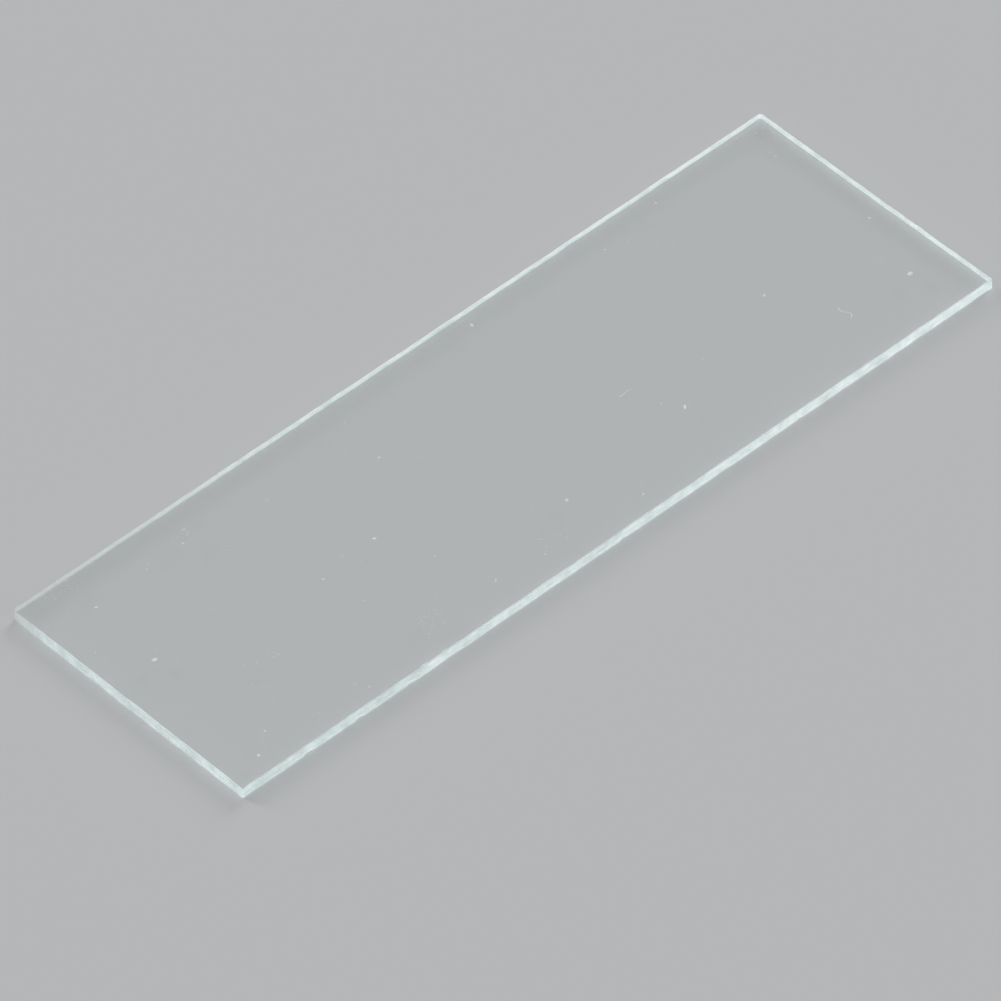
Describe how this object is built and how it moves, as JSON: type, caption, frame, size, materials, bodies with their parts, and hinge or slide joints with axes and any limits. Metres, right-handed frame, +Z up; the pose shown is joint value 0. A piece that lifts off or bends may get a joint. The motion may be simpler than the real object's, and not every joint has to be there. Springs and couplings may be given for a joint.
{
  "type": "microscope slide",
  "caption": "Plain rectangular glass microscope slide, clear on both faces, with ground edges and small bevels, for holding a specimen.",
  "frame": {"origin": "centre of the underside, on the surface that the slide lies on", "axes": "+X along the slide's length, +Y across its width, +Z up through its thickness"},
  "size_m": [0.0762, 0.0254, 0.001],
  "materials": {
    "clear_glass": "clear soda-lime glass, fire-polished on both faces, ground to a fine white matt on all four sides and their bevels"
  },
  "bodies": {
    "root": {"glass_slide": "clear_glass"}
  },
  "joints": []
}
